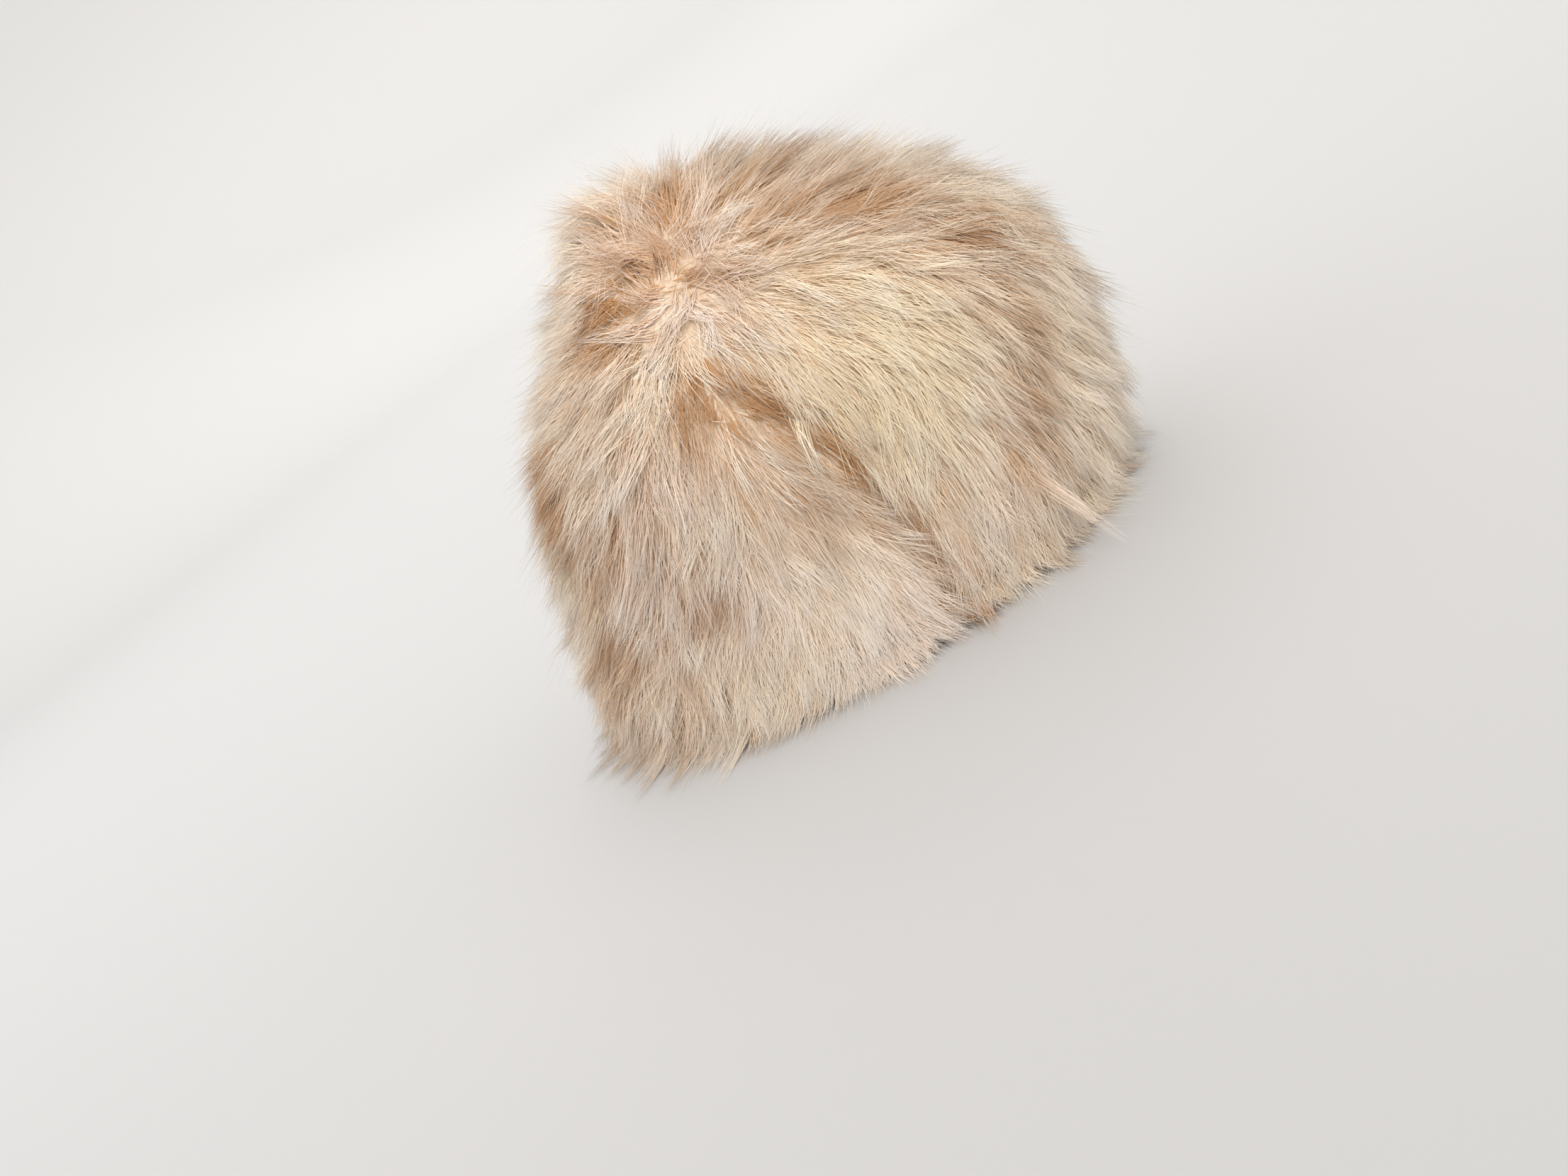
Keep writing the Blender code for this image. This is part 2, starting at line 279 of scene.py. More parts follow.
def ordered_quads(faces):
    """The corners of faces of four, in an order that is the same each run."""
    quads = []
    for face in faces:
        corners = [tuple(vert.co) for vert in face.verts]
        first = corners.index(min(corners))
        quads.append(corners[first:] + corners[:first])
    return np.array(sorted(quads))


def hair_side(pelt):
    """The outer faces of a pelt."""
    skin = pelt_copy(pelt)
    inner = []
    for face in skin.faces:
        out = (face.calc_center_median() - HEART).normalized()
        if face.normal.dot(out) < FACING or face.normal.z < CUT_EDGE_DOWN:
            inner.append(face)
    bmesh.ops.delete(skin, geom=inner, context="FACES")
    skin.normal_update()
    return skin


def pile_depths(skin, pelt):
    """The depth of the fur above each corner of a pelt, read from its solid fur."""
    solid = bmesh.new()
    solid.from_mesh(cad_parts[pelt + "_fur"].data)
    tree = BVHTree.FromBMesh(solid)
    solid.free()
    found = []
    for vert in skin.verts:
        hit = tree.ray_cast(vert.co + vert.normal * PILE_REACH, -vert.normal, PILE_REACH)
        found.append(PILE_REACH - hit[3] if hit[0] else None)
    known = [depth for depth in found if depth]
    middle = sum(known) / len(known)
    found = [depth or middle for depth in found]
    near = near_tree([vert.co for vert in skin.verts])
    smooth = []
    for vert in skin.verts:
        around = [found[index] for _, index, _ in near.find_n(vert.co, PILE_NEIGHBOURS)]
        smooth.append(sum(around) / len(around) / SOLID_FUR_SHARE)
    return smooth


def mat_finish():
    """Woolly underfur: tan with darker clouds, drawn fine so that it reads as hair."""
    wool = bpy.data.materials.new("underfur_wool")
    wool.use_nodes = True
    nodes, links = wool.node_tree.nodes, wool.node_tree.links
    surface = nodes["Principled BSDF"]
    surface.inputs["Roughness"].default_value = 0.95
    place = nodes.new("ShaderNodeTexCoord")
    curls = nodes.new("ShaderNodeTexNoise")
    curls.inputs["Scale"].default_value = 260.0
    curls.inputs["Detail"].default_value = 5.0
    tint = nodes.new("ShaderNodeValToRGB")
    tint.color_ramp.elements[0].position = 0.36
    tint.color_ramp.elements[0].color = MAT_DARK
    tint.color_ramp.elements[1].position = 0.62
    tint.color_ramp.elements[1].color = MAT_PALE
    relief = nodes.new("ShaderNodeBump")
    relief.inputs["Strength"].default_value = 0.8
    relief.inputs["Distance"].default_value = 0.002
    links.new(place.outputs["Object"], curls.inputs["Vector"])
    links.new(curls.outputs["Fac"], tint.inputs["Fac"])
    links.new(tint.outputs["Color"], surface.inputs["Base Color"])
    links.new(curls.outputs["Fac"], relief.inputs["Height"])
    links.new(relief.outputs["Normal"], surface.inputs["Normal"])
    return wool


def matched_at_seams(skins, piles):
    """The normals and pile depths of all pelts, averaged across the seams between them."""
    everywhere = near_tree([vert.co for skin in skins.values() for vert in skin.verts])
    known = []
    for pelt, skin in skins.items():
        known += [(vert.normal.copy(), depth) for vert, depth in zip(skin.verts, piles[pelt])]
    matched = {}
    for pelt, skin in skins.items():
        normals, depths = [], []
        for vert in skin.verts:
            around = [known[index] for _, index, _ in everywhere.find_range(vert.co, SEAM_REACH)]
            normals.append(sum((normal for normal, _ in around), Vector()).normalized())
            depths.append(sum(depth for _, depth in around) / len(around))
        matched[pelt] = (normals, depths)
    return matched


def mat_body(pelt, skin, normals, depths, finish):
    """The underfur of one pelt. Returns its outer side and its lower edge, to root hair on."""
    base = [vert.co.copy() for vert in skin.verts]
    rim = [vert.is_boundary and vert.co.z < RIM_SKIN_HEIGHT for vert in skin.verts]
    raised = bmesh.ops.extrude_face_region(skin, geom=list(skin.faces), use_keep_orig=True)
    near = near_tree(base)
    tops = {vert for vert in raised["geom"] if isinstance(vert, bmesh.types.BMVert)}
    outer = {}
    for vert in skin.verts:
        _, index, _ = near.find(vert.co)
        lift = depths[index] * MAT_SHARE if vert in tops else MAT_GAP
        vert.co = base[index] + normals[index] * lift
        if rim[index]:
            vert.co.z = RIM_MAT_HEIGHT
        if vert in tops:
            outer[vert] = index
    bmesh.ops.recalc_face_normals(skin, faces=skin.faces)
    faces = [face for face in skin.faces if all(vert in outer for vert in face.verts)]
    order = list(outer)
    number = {vert: count for count, vert in enumerate(order)}
    corners = [[number[vert] for vert in face.verts] for face in faces]
    under = faces_down(skin, RIM_MAT_TOP)
    side = {
        "rim": ordered_quads([face for face in under if len(face.verts) == 4]),
        "points": np.array([vert.co for vert in order]),
        "normals": np.array([normals[outer[vert]] for vert in order]),
        "depths": np.array([depths[outer[vert]] for vert in order]),
        "faces": np.array(corners),
    }
    mesh = bpy.data.meshes.new(pelt + "_underfur")
    skin.to_mesh(mesh)
    skin.free()
    mesh.shade_smooth()
    mesh.materials.append(finish)
    piece = bpy.data.objects.new(pelt + "_underfur", mesh)
    bpy.context.scene.collection.objects.link(piece)
    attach(piece, "root")
    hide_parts(pelt + "_fur")
    return side


wool = mat_finish()
skins = {pelt: hair_side(pelt) for pelt in PELTS}
matched = matched_at_seams(skins, {pelt: pile_depths(skins[pelt], pelt) for pelt in PELTS})
mats = {pelt: mat_body(pelt, skins[pelt], *matched[pelt], wool) for pelt in PELTS}
ground_points, ground_faces, ground_depths = [], [], []
for side in mats.values():
    ground_faces += (side["faces"] + len(ground_points)).tolist()
    ground_points += side["points"].tolist()
    ground_depths += side["depths"].tolist()
ground = BVHTree.FromPolygons(ground_points, ground_faces)
ground_near = near_tree(ground_points)

# The long hair. It grows in pointed locks that overlap like shingles: away from a whorl
# on each side of the crown, along the side, and down to the rim. Each lock is a bundle
# of closed tapered hairs that draw together towards the lock's tip.
WHORL = Vector((0.006, 0.070, 0.202))
WORN_DOWN = Vector((-0.53, 0.0, -0.85))
HANG_START = 0.185
HANG_FULL = 0.040
HANG_PULL = 0.75

# The crease between crown and back panel: its heights, and how far forward it is at each
CREASE_UP = (0.020, 0.037, 0.068, 0.101, 0.127, 0.155)
CREASE_AT = (0.037, 0.037, 0.035, 0.031, 0.016, -0.001)
CREASE_SLOPE_STEP = 0.006
CREASE_FADE_ABOVE = 0.010
CREASE_FADE_BELOW = 0.005
CREASE_FRONT = 0.001
CREASE_REACH = 0.016
CREASE_LAP = 0.004
CREASE_VALLEY = 0.0075
CREASE_LOWER = 0.78
# Browner hair along the crease: partly its own brown bases showing, partly painted shade in the valley
CREASE_SHADE_AND_BROWN = 1.5
CREASE_SHADE_AND_BROWN_AT = 0.001
CREASE_SHADE_AND_BROWN_REACH = 0.0085
PANEL_EDGE = 0.016
PANEL_EDGE_SHORTER = 0.45
PANEL_LEAN = 1.0
PANEL_LEAN_REACH = 0.075
PANEL_LEAN_START = 0.145
PANEL_LEAN_FULL = 0.105

# How the coat changes at the whorls, along the parting between them and along the crest
WHORL_REACH = 0.026
WHORL_SPIRAL = 0.35
WHORL_SHORTER = 0.42
PARTING_REACH = 0.020
PARTING_HEIGHTS = (0.17, 0.20)
PARTING_END = 0.015
PARTING_STAND = 0.30
CREST_WIDTH = 0.022
CREST_HEIGHTS = (0.16, 0.20)
CREST_STAND = 0.08

# How the locks and their hairs vary, most of it as shares of their own kind's measures
COAT_SEED = 11
ROOT_TRIES = 6
ROOT_SUNK = 0.001
COMB_STEPS = 3
MAT_EDGE_ROOM = 0.002
LOCK_LENGTHS = (0.70, 1.25)
LOCK_STANDS = (0.80, 1.12)
LOCK_CURLS = (0.7, 1.3)
TURN_ANYWHERE = 0.20
TURN_AT_WHORL = 0.9
TURN_AT_PARTING = 0.6
HAIR_LENGTHS = (0.70, 1.05)
HAIR_WIDTHS = (0.75, 1.25)
HAIR_STANDS = 0.16
HAIR_STEPS = (0.0, 0.5, 1.0)
HAIR_TAPER = (1.0, 0.8)
HAIR_SKEW = (0.31, 0.17, 0.94)

# How the hair ends at the rim, rests on the table and is kept near the solid hat
RIM_HANG = 0.030
RIM_DROP = 0.35
SHORTEST = 0.014
FLOOR_CLEARANCE = 0.0008
FLOOR_BEND = 0.010
FLOOR_SPLAY = 0.75
OUTER_ROOM = 0.016
OWN_NORMAL = 0.55
HAIRS_PER_PIECE = 18000

# Slow changes over the coat: their size, their fineness and where in the noise they start
TURN_WAVES = (0.50, 42.0, 3.0)
TURN_RIPPLES = (0.30, 110.0, 5.0)
STAND_WAVES = (0.50, 62.0, 7.0)

# The three kinds of hair on a pelt. Each has the spacing of its locks, their length and
# their reach to each side, the hairs in one, the share by which they draw together at the
# tip, the height of the tips as a share of the free pile, how much prouder one may stand,
# a hair's width, how far it strays, and how much paler it is than the coat around it.
Kind = namedtuple("Kind", "spacing length reach per_lock clump height most_proud width stray paler")
KINDS = {
    "down": Kind(0.0047, 0.018, 0.0038, 6, 0.10, 0.80, 0.004, 0.00042, 0.0036, 0.0),
    "locks": Kind(0.0060, 0.034, 0.0058, 22, 0.70, 1.00, 0.011, 0.00032, 0.0026, 0.0),
    "guard": Kind(0.0073, 0.046, 0.0032, 6, 0.25, 1.16, 0.017, 0.00021, 0.0052, 0.22),
}

# Where the coat changes colour, alike on both sides: place on the left side, reach,
# how brown the hair is there and how pink. Less than none of either is a paler coat.
# The crease corner is partly painted shade, and the back sheen patches are painted sheen.
COAT = {
    "whorl": ((0.006, 0.065, 0.200), 0.030, 0.38, 0.60),
    "pale_swirl": ((0.018, 0.075, 0.187), 0.010, -0.39, 0.30),
    "behind_whorl": ((-0.023, 0.065, 0.192), 0.014, 0.56, 0.0),
    "back_edge": ((-0.081, 0.050, 0.150), 0.028, 0.95, 0.0),
    "back_streak_high": ((-0.056, 0.095, 0.128), 0.012, 0.56, 0.1),
    "back_streak_mid": ((-0.099, 0.073, 0.080), 0.020, 0.80, 0.1),
    "back_streak_low": ((-0.132, 0.059, 0.044), 0.022, 0.75, 0.1),
    # Browner where the crease ends: partly brown bases, partly painted shade
    "crease_corner_shade_and_brown": ((-0.001, 0.088, 0.155), 0.013, 0.88, 0.0),
    "panel_tan": ((0.004, 0.094, 0.108), 0.013, 0.35, 0.0),
    "brow_band_high": ((0.120, 0.064, 0.108), 0.018, 1.00, 0.0),
    "brow_band_low": ((0.108, 0.068, 0.074), 0.018, 0.85, 0.0),
    "top_band": ((0.080, 0.048, 0.182), 0.022, 0.72, 0.0),
    "top_band_front": ((0.112, 0.042, 0.152), 0.014, 0.64, 0.0),
    "crown_ridge": ((0.046, 0.016, 0.212), 0.028, 0.72, 0.1),
    "fleck_low": ((-0.042, 0.097, 0.085), 0.014, 0.75, 0.0),
    "fleck_high": ((0.003, 0.098, 0.089), 0.010, 0.48, 0.0),
    "gold_side": ((0.058, 0.088, 0.155), 0.034, -0.17, -0.55),
    "gold_front": ((0.069, 0.094, 0.120), 0.034, -0.17, -0.55),
    "pale_foot": ((0.010, 0.090, 0.040), 0.040, -0.42, 0.35),
    # Painted sheen: paler, pinker hair where the light glints on the bulge of the back panel
    "back_painted_sheen_high": ((-0.038, 0.099, 0.144), 0.024, -0.04, 0.45),
    "back_painted_sheen_low": ((-0.056, 0.099, 0.092), 0.030, -0.04, 0.40),
    "brow": ((0.137, 0.048, 0.061), 0.036, -0.48, 0.10),
}
BROWN_GROUND = 0.19
PINK_GROUND = 0.50
STREAK_FINENESS = 70.0
STREAK_SHARE = 0.6
STREAK_BROWN = 0.30
CLOUD_FINENESS = 28.0
CLOUD_START = Vector((9.0, 4.0, 2.0))
CLOUD_BROWN = 0.16
CLOUD_PINK = 0.30
LOCK_BROWNS = 0.15
HAIR_BROWNS = 0.16
HAIR_PINKS = 0.10

# The colour chart of the hair: brown from left to right, and from the root to the tip of
# a hair in each of a few rows, which go from gold to pink.
PINK_LEVELS = 8
ROW_FOOT = 0.05
ROW_RUN = 0.9
BROWN_FOOT = 0.015
BROWN_RUN = 0.97
HAIR_ON_CHART = 0.004
GOLD_HAIR = ((0.0, (0.88, 0.67, 0.43)), (0.45, (0.96, 0.79, 0.54)), (1.0, (0.97, 0.91, 0.76)))
ROSE_HAIR = ((0.0, (0.82, 0.65, 0.53)), (0.45, (0.92, 0.77, 0.66)), (1.0, (0.97, 0.92, 0.87)))
TAN_HAIR = ((0.0, (0.64, 0.36, 0.15)), (0.45, (0.52, 0.255, 0.085)), (1.0, (0.34, 0.16, 0.06)))


def unit(vectors):
    """Vectors at a length of one."""
    return vectors / np.maximum(np.linalg.norm(vectors, axis=-1, keepdims=True), 1e-9)


def eased(value, start, end):
    """A smooth step from 0 at the start to 1 at the end."""
    share = np.clip((value - start) / (end - start), 0.0, 1.0)
    return share * share * (3 - 2 * share)


def beside_crease(points):
    """The way forward out of the crease, and how far in front of it each place is."""
    at = np.interp(points[:, 2], CREASE_UP, CREASE_AT)
    slope = (np.interp(points[:, 2] + CREASE_SLOPE_STEP, CREASE_UP, CREASE_AT) - at) / CREASE_SLOPE_STEP
    forward = unit(np.stack([np.ones_like(slope), np.zeros_like(slope), -slope], 1))
    before = (points[:, 0] - at) * forward[:, 0]
    under = eased(-points[:, 2], -CREASE_UP[-1] - CREASE_FADE_ABOVE, -CREASE_UP[-1] + CREASE_FADE_BELOW)
    return forward * under[:, None], np.where(under > 0, before, 1.0)


def hair_way(points, normals):
    """The way the hair lies: away from the whorls, then down, and never into the crease."""
    flow = np.zeros_like(points)
    for side in (-1.0, 1.0):
        away = points - np.array((WHORL.x, WHORL.y * side, WHORL.z))
        square = (away**2).sum(-1, keepdims=True)
        flow += away / np.maximum(square, (WHORL.y / 4) ** 2)
    hang = HANG_PULL * eased(-points[:, 2], -HANG_START, -HANG_FULL)
    flow = unit(flow) + np.array(WORN_DOWN) * hang[:, None]
    crest, before = beside_crease(points)
    inward = np.minimum((flow * crest).sum(-1), 0.0)
    hold = (1 - eased(before, 0.0, CREASE_REACH)) * (before > -CREASE_LAP)
    flow -= crest * (inward * hold)[:, None]
    lean = eased(before, -PANEL_LEAN_REACH, 0.0) * (before < CREASE_FRONT)
    lean *= eased(-points[:, 2], -PANEL_LEAN_START, -PANEL_LEAN_FULL)
    flow[:, 0] += PANEL_LEAN * lean
    flow -= normals * (flow * normals).sum(-1, keepdims=True)
    return unit(flow)


def lock_roots(side, spacing, dice):
    """Evenly scattered places on the outer side of one pelt's underfur."""
    corners = side["points"][side["faces"]]
    areas = np.linalg.norm(np.cross(corners[:, 1] - corners[:, 0], corners[:, 2] - corners[:, 0]), axis=1)
    count = int(areas.sum() / 2 / spacing**2 * ROOT_TRIES)
    face = dice.choice(len(areas), count, p=areas / areas.sum())
    a, b = dice.random((2, count))
    a, b = np.where(a + b > 1, 1 - a, a), np.where(a + b > 1, 1 - b, b)
    shares = np.stack([1 - a - b, a, b], 1)
    points = (corners[face] * shares[:, :, None]).sum(1)
    normals = unit((side["normals"][side["faces"][face]] * shares[:, :, None]).sum(1))
    depths = (side["depths"][side["faces"][face]] * shares).sum(1)
    near = near_tree(points)
    open_place = np.ones(count, bool)
    kept = []
    for index in range(count):
        if open_place[index]:
            kept.append(index)
            for _, other, _ in near.find_range(points[index], spacing):
                open_place[other] = False
    return points[kept], normals[kept], depths[kept]


def comb(points, normals, depths, lengths, turns):
    """Guides that run over the underfur from each root, the way the hair lies."""
    path, outs, ways, piles = [points], [normals], [], [depths]
    here, out = points, normals
    for _ in range(COMB_STEPS):
        way = hair_way(here, out)
        side = np.cross(out, way)
        way = way * np.cos(turns)[:, None] + side * np.sin(turns)[:, None]
        ways.append(way)
        ahead = here + way * (lengths / COMB_STEPS)[:, None]
        landed, up, deep = ahead.copy(), out.copy(), piles[-1].copy()
        for index, place in enumerate(ahead):
            spot, normal, _, _ = ground.find_nearest(place)
            if spot.z > RIM_MAT_HEIGHT + MAT_EDGE_ROOM:
                landed[index] = spot
                up[index] = unit(0.5 * out[index] + 0.5 * np.array(normal))
                deep[index] = ground_depths[ground_near.find(spot)[1]]
        here, out = landed, up
        path.append(here)
        outs.append(out)
        piles.append(0.5 * deep + 0.5 * piles[-1])
    ways.append(ways[-1])
    return tuple(np.stack(rows, 1) for rows in (path, outs, ways, piles))


def along(rows, share):
    """Values between the rows of each guide, at a share of its length."""
    last = rows.shape[1] - 1
    at = np.clip(share, 0.0, 1.0) * last
    low = np.minimum(at.astype(int), last - 1)
    blend = at - low
    index = np.arange(len(rows))
    while blend.ndim < rows[index, low].ndim:
        blend = blend[..., None]
    return rows[index, low] * (1 - blend) + rows[index, low + 1] * blend


def coat_tones(points, dice):
    """How brown and how pink the hair is at some places."""
    brown = np.full(len(points), BROWN_GROUND)
    pink = np.full(len(points), PINK_GROUND)
    mirrored = points * np.array((1.0, 0.0, 1.0)) + np.abs(points) * np.array((0.0, 1.0, 0.0))
    for place, reach, more_brown, more_pink in COAT.values():
        near = np.exp(-((mirrored - np.array(place)) ** 2).sum(1) / reach**2)
        brown += more_brown * near
        pink += more_pink * near
    # Painted shade along the crease: the hair there is made browner, partly for its brown bases and partly
    # for the shade in the valley
    before = beside_crease(points)[1]
    brown += CREASE_SHADE_AND_BROWN * np.exp(-(((before - CREASE_SHADE_AND_BROWN_AT) / CREASE_SHADE_AND_BROWN_REACH) ** 2))
    for index, point in enumerate(points):
        streak = noise.noise(Vector(point) * STREAK_FINENESS)
        cloud = noise.noise(Vector(point) * CLOUD_FINENESS + CLOUD_START)
        brown[index] *= 1 + STREAK_SHARE * streak
        brown[index] += STREAK_BROWN * streak
        brown[index] += CLOUD_BROWN * cloud
        pink[index] += CLOUD_PINK * cloud
    brown += dice.normal(0.0, LOCK_BROWNS, len(points))
    return brown, pink


def hair_corners(centres, widths, shades):
    """The corners of three-sided hairs round their centre lines, and the ways they face."""
    rings = centres.shape[1] - 1
    tangents = unit(centres[:, 1:] - centres[:, :-1])
    across = unit(np.cross(tangents, np.array(HAIR_SKEW)))
    over = np.cross(tangents, across)
    vertices = np.empty((len(centres), rings * 3 + 1, 3))
    facing = np.empty_like(vertices)
    for ring in range(rings):
        for corner in range(3):
            turn = 2 * math.pi * corner / 3
            offset = across[:, ring] * math.cos(turn) + over[:, ring] * math.sin(turn)
            half = (widths * HAIR_TAPER[ring] / 2)[:, None]
            vertices[:, ring * 3 + corner] = centres[:, ring] + offset * half
            facing[:, ring * 3 + corner] = shades[:, ring] * (1 - OWN_NORMAL) + offset * OWN_NORMAL
    vertices[:, -1] = centres[:, -1]
    facing[:, -1] = shades[:, -1]
    return vertices, unit(facing)


def hair_faces(rings):
    """The triangles of one closed hair: its root, its sides and its tip."""
    faces = [(2, 1, 0)]
    for ring in range(rings - 1):
        for corner in range(3):
            after = (corner + 1) % 3
            low, high = ring * 3, ring * 3 + 3
            faces += [(low + corner, low + after, high + after), (low + corner, high + after, high + corner)]
    last = rings * 3 - 3
    faces += [(last + corner, last + (corner + 1) % 3, rings * 3) for corner in range(3)]
    return np.array(faces)


def hair_chart(rings, browns, pinks):
    """Where each corner of each hair lies on the colour chart."""
    row = (np.clip(pinks, 0.0, 1.0) * (PINK_LEVELS - 1)).round()
    up_hair = np.repeat(np.array(HAIR_STEPS[:rings] + (1.0,)), [3] * rings + [1])
    sideways = np.append(np.tile((-HAIR_ON_CHART, 0.0, HAIR_ON_CHART), rings), 0.0)
    u = np.clip(browns, 0.0, 1.0)[:, None] * BROWN_RUN + BROWN_FOOT + sideways[None]
    v = (row[:, None] + ROW_FOOT + ROW_RUN * up_hair[None]) / PINK_LEVELS
    return np.stack([u, v], -1).reshape(-1, 2)


def hairs_mesh(name, centres, widths, shades, browns, pinks, finish):
    """One piece of closed three-sided hairs, from their centre lines of a few points."""
    vertices, facing = hair_corners(centres, widths, shades)
    count, per_hair = vertices.shape[:2]
    rings = centres.shape[1] - 1
    loops = (hair_faces(rings).ravel()[None] + per_hair * np.arange(count)[:, None]).ravel()
    mesh = bpy.data.meshes.new(name)
    mesh.vertices.add(count * per_hair)
    mesh.vertices.foreach_set("co", vertices.astype(np.float32).ravel())
    mesh.loops.add(len(loops))
    mesh.loops.foreach_set("vertex_index", loops.astype(np.int32))
    mesh.polygons.add(len(loops) // 3)
    mesh.polygons.foreach_set("loop_start", np.arange(0, len(loops), 3, dtype=np.int32))
    mesh.update(calc_edges=True)
    chart = mesh.uv_layers.new(name="OFBake")
    places = hair_chart(rings, browns, pinks)[loops]
    chart.uv.foreach_set("vector", places.astype(np.float32).ravel())
    mesh.shade_smooth()
    mesh.normals_split_custom_set_from_vertices(facing.reshape(-1, 3).tolist())
    mesh.materials.append(finish)
    piece = bpy.data.objects.new(name, mesh)
    bpy.context.scene.collection.objects.link(piece)
    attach(piece, "root")


def hair_finish():
    """Hair whose colour runs from root to tip, by how brown and how pink it is."""
    hair = bpy.data.materials.new("fox_hair")
    hair.use_nodes = True
    nodes, links = hair.node_tree.nodes, hair.node_tree.links
    surface = nodes["Principled BSDF"]
    surface.inputs["Roughness"].default_value = 0.38
    surface.inputs["Specular IOR Level"].default_value = 0.6
    chart = nodes.new("ShaderNodeUVMap")
    chart.uv_map = "OFBake"
    split = nodes.new("ShaderNodeSeparateXYZ")
    links.new(chart.outputs["UV"], split.inputs["Vector"])

    def worked(kind, *values):
        step = nodes.new("ShaderNodeMath")
        step.operation = kind
        for socket, value in zip(step.inputs, values):
            if isinstance(value, float):
                socket.default_value = value
            else:
                links.new(value, socket)
        return step.outputs["Value"]

    def ramp(share, stops):
        scale = nodes.new("ShaderNodeValToRGB")
        scale.color_ramp.elements[0].position = stops[0][0]
        scale.color_ramp.elements[0].color = (*stops[0][1], 1.0)
        scale.color_ramp.elements[1].position = stops[-1][0]
        scale.color_ramp.elements[1].color = (*stops[-1][1], 1.0)
        for position, colour in stops[1:-1]:
            scale.color_ramp.elements.new(position).color = (*colour, 1.0)
        links.new(share, scale.inputs["Fac"])
        return scale.outputs["Color"]

    def mixed(share, first, second):
        blend = nodes.new("ShaderNodeMix")
        blend.data_type = "RGBA"
        links.new(share, blend.inputs["Factor"])
        links.new(first, blend.inputs["A"])
        links.new(second, blend.inputs["B"])
        return blend.outputs["Result"]

    rows = worked("MULTIPLY", split.outputs["Y"], float(PINK_LEVELS))
    row = worked("FLOOR", rows)
    up_hair = worked("DIVIDE", worked("SUBTRACT", worked("SUBTRACT", rows, row), ROW_FOOT), ROW_RUN)
    pink = worked("DIVIDE", row, float(PINK_LEVELS - 1))
    cream = mixed(pink, ramp(up_hair, GOLD_HAIR), ramp(up_hair, ROSE_HAIR))
    brown = split.outputs["X"]
    links.new(mixed(brown, cream, ramp(up_hair, TAN_HAIR)), surface.inputs["Base Color"])
    return hair


def waves(points, size, fineness, start):
    """Slow changes over the coat, alike for places close together."""
    shift = Vector((start, 0.0, -start))
    return size * np.array([noise.noise(Vector(point) * fineness + shift) for point in points])


def landmarks(points):
    """How near each place is to what changes the coat's form: 1 is there, 0 is far away."""
    off_whorl = np.linalg.norm(np.abs(points) * (0, 1, 0) + points * (1, 0, 1) - np.array(WHORL), axis=1)
    before = beside_crease(points)[1]
    parting = np.exp(-(((points[:, 0] - WHORL.x) / PARTING_REACH) ** 2))
    parting *= eased(points[:, 2], *PARTING_HEIGHTS)
    parting *= 1 - eased(np.abs(points[:, 1]), WHORL.y - PARTING_END, WHORL.y)
    return {
        "whorl": np.exp(-((off_whorl / WHORL_REACH) ** 2)),
        "parting": parting,
        "crest": np.exp(-((points[:, 1] / CREST_WIDTH) ** 2)) * eased(points[:, 2], *CREST_HEIGHTS),
        "crease": np.exp(-((before / CREASE_VALLEY) ** 2)),
        "panel_edge": eased(before, -PANEL_EDGE, 0.0) * (before < CREASE_FRONT),
    }


def settled(centres, outs):
    """Hairs at rest: near the table they bend flat and splay out, and none goes too far."""
    height = centres[:, :, 2]
    bent = FLOOR_BEND * np.exp(np.minimum(height / FLOOR_BEND - 1, 0.0))
    splay = np.where(height < FLOOR_BEND, bent - height, 0.0) * FLOOR_SPLAY
    centres[:, :, :2] += unit(outs[:, :, :2]) * splay[:, :, None]
    centres[:, :, 2] = FLOOR_CLEARANCE + np.where(height < FLOOR_BEND, bent, height)
    low, high = np.array(cad_box[0]) - OUTER_ROOM, np.array(cad_box[1]) + OUTER_ROOM
    low[2] = 0.0
    return np.clip(centres, low, high)


